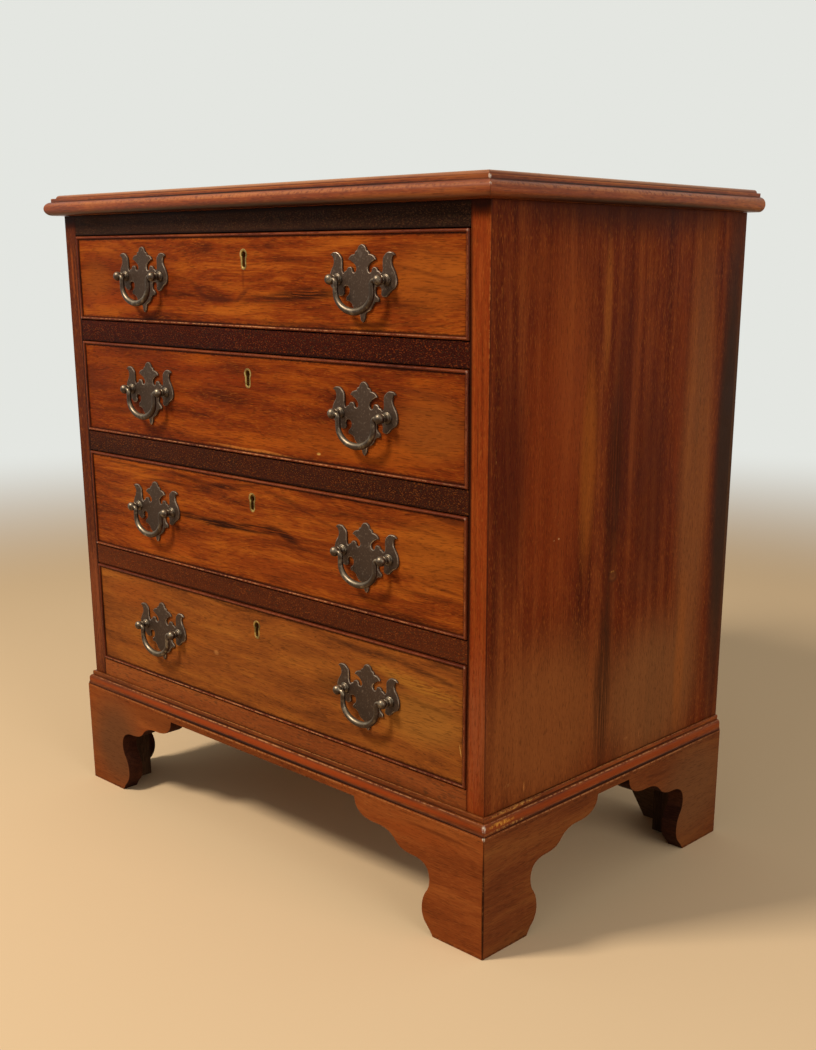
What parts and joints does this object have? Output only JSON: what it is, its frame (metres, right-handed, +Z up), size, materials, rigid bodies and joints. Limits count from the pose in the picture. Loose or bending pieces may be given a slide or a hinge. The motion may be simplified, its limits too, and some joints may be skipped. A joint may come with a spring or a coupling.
{
  "type": "bachelors chest of drawers",
  "caption": "Small mahogany chest of graduated drawers with cockbeaded fronts, pierced brass plates with swinging bails, a moulded top and a plinth cut into bracket feet.",
  "frame": {"origin": "on the floor under the middle of the whole chest's box", "axes": "+X to the right as seen from the front, +Y towards the back, +Z up"},
  "size_m": [0.692, 0.434, 0.7225],
  "materials": {
    "drawer_front": "figured mahogany veneer, french polished",
    "case_side": "straight-grained mahogany, waxed",
    "rail": "dark stained mahogany, waxed",
    "top_board": "mahogany with a moulded edge, polished",
    "plinth": "mahogany, waxed",
    "moulding": "mahogany moulding with worn edges, polished",
    "oak": "plain sawn oak, unfinished",
    "brass": "cast brass with a dark patina and rubbed edges",
    "steel": "plain steel lock bolt"
  },
  "bodies": {
    "case": {"side_left": "case_side", "side_right": "case_side", "top_rail": "rail", "divider_upper": "rail", "divider_middle": "rail", "divider_lower": "rail", "case_bottom": "rail", "back_panel": "oak", "top": "top_board", "plinth_front": "plinth", "plinth_left": "plinth", "plinth_right": "plinth", "plinth_back": "oak", "base_moulding_front": "moulding", "base_moulding_left": "moulding", "base_moulding_right": "moulding"},
    "drawer_1": {"drawer_1_front": "drawer_front", "drawer_1_side_left": "oak", "drawer_1_side_right": "oak", "drawer_1_back": "oak", "drawer_1_bottom": "oak", "drawer_1_lock": "brass", "drawer_1_plate_left": "brass", "drawer_1_plate_right": "brass"},
    "drawer_1_bolt": {"drawer_1_bolt": "steel"},
    "drawer_1_bail_left": {"drawer_1_bail_left": "brass"},
    "drawer_1_bail_right": {"drawer_1_bail_right": "brass"},
    "drawer_2": {"drawer_2_front": "drawer_front", "drawer_2_side_left": "oak", "drawer_2_side_right": "oak", "drawer_2_back": "oak", "drawer_2_bottom": "oak", "drawer_2_lock": "brass", "drawer_2_plate_left": "brass", "drawer_2_plate_right": "brass"},
    "drawer_2_bolt": {"drawer_2_bolt": "steel"},
    "drawer_2_bail_left": {"drawer_2_bail_left": "brass"},
    "drawer_2_bail_right": {"drawer_2_bail_right": "brass"},
    "drawer_3": {"drawer_3_front": "drawer_front", "drawer_3_side_left": "oak", "drawer_3_side_right": "oak", "drawer_3_back": "oak", "drawer_3_bottom": "oak", "drawer_3_lock": "brass", "drawer_3_plate_left": "brass", "drawer_3_plate_right": "brass"},
    "drawer_3_bolt": {"drawer_3_bolt": "steel"},
    "drawer_3_bail_left": {"drawer_3_bail_left": "brass"},
    "drawer_3_bail_right": {"drawer_3_bail_right": "brass"},
    "drawer_4": {"drawer_4_front": "drawer_front", "drawer_4_side_left": "oak", "drawer_4_side_right": "oak", "drawer_4_back": "oak", "drawer_4_bottom": "oak", "drawer_4_lock": "brass", "drawer_4_plate_left": "brass", "drawer_4_plate_right": "brass"},
    "drawer_4_bolt": {"drawer_4_bolt": "steel"},
    "drawer_4_bail_left": {"drawer_4_bail_left": "brass"},
    "drawer_4_bail_right": {"drawer_4_bail_right": "brass"}
  },
  "joints": [
    {"name": "drawer_1_slide", "type": "slide", "parent": "case", "child": "drawer_1", "axis": [0, -1, 0], "range_m": [0, 0.3]},
    {"name": "drawer_1_bolt_slide", "type": "slide", "parent": "drawer_1", "child": "drawer_1_bolt", "axis": [0, 0, 1], "range_m": [0, 0.008]},
    {"name": "drawer_1_bail_left_hinge", "type": "hinge", "parent": "drawer_1", "child": "drawer_1_bail_left", "pos_m": [-0.17575, -0.212, 0.63325], "axis": [-1, 0, 0], "range_deg": [-13, 165]},
    {"name": "drawer_1_bail_right_hinge", "type": "hinge", "parent": "drawer_1", "child": "drawer_1_bail_right", "pos_m": [0.17575, -0.212, 0.63325], "axis": [-1, 0, 0], "range_deg": [-13, 165]},
    {"name": "drawer_2_slide", "type": "slide", "parent": "case", "child": "drawer_2", "axis": [0, -1, 0], "range_m": [0, 0.3]},
    {"name": "drawer_2_bolt_slide", "type": "slide", "parent": "drawer_2", "child": "drawer_2_bolt", "axis": [0, 0, 1], "range_m": [0, 0.008]},
    {"name": "drawer_2_bail_left_hinge", "type": "hinge", "parent": "drawer_2", "child": "drawer_2_bail_left", "pos_m": [-0.17575, -0.212, 0.5092], "axis": [-1, 0, 0], "range_deg": [-13, 165]},
    {"name": "drawer_2_bail_right_hinge", "type": "hinge", "parent": "drawer_2", "child": "drawer_2_bail_right", "pos_m": [0.17575, -0.212, 0.5092], "axis": [-1, 0, 0], "range_deg": [-13, 165]},
    {"name": "drawer_3_slide", "type": "slide", "parent": "case", "child": "drawer_3", "axis": [0, -1, 0], "range_m": [0, 0.3]},
    {"name": "drawer_3_bolt_slide", "type": "slide", "parent": "drawer_3", "child": "drawer_3_bolt", "axis": [0, 0, 1], "range_m": [0, 0.008]},
    {"name": "drawer_3_bail_left_hinge", "type": "hinge", "parent": "drawer_3", "child": "drawer_3_bail_left", "pos_m": [-0.17575, -0.212, 0.3744], "axis": [-1, 0, 0], "range_deg": [-13, 165]},
    {"name": "drawer_3_bail_right_hinge", "type": "hinge", "parent": "drawer_3", "child": "drawer_3_bail_right", "pos_m": [0.17575, -0.212, 0.3744], "axis": [-1, 0, 0], "range_deg": [-13, 165]},
    {"name": "drawer_4_slide", "type": "slide", "parent": "case", "child": "drawer_4", "axis": [0, -1, 0], "range_m": [0, 0.3]},
    {"name": "drawer_4_bolt_slide", "type": "slide", "parent": "drawer_4", "child": "drawer_4_bolt", "axis": [0, 0, 1], "range_m": [0, 0.008]},
    {"name": "drawer_4_bail_left_hinge", "type": "hinge", "parent": "drawer_4", "child": "drawer_4_bail_left", "pos_m": [-0.17575, -0.212, 0.23085], "axis": [-1, 0, 0], "range_deg": [-13, 165]},
    {"name": "drawer_4_bail_right_hinge", "type": "hinge", "parent": "drawer_4", "child": "drawer_4_bail_right", "pos_m": [0.17575, -0.212, 0.23085], "axis": [-1, 0, 0], "range_deg": [-13, 165]}
  ]
}
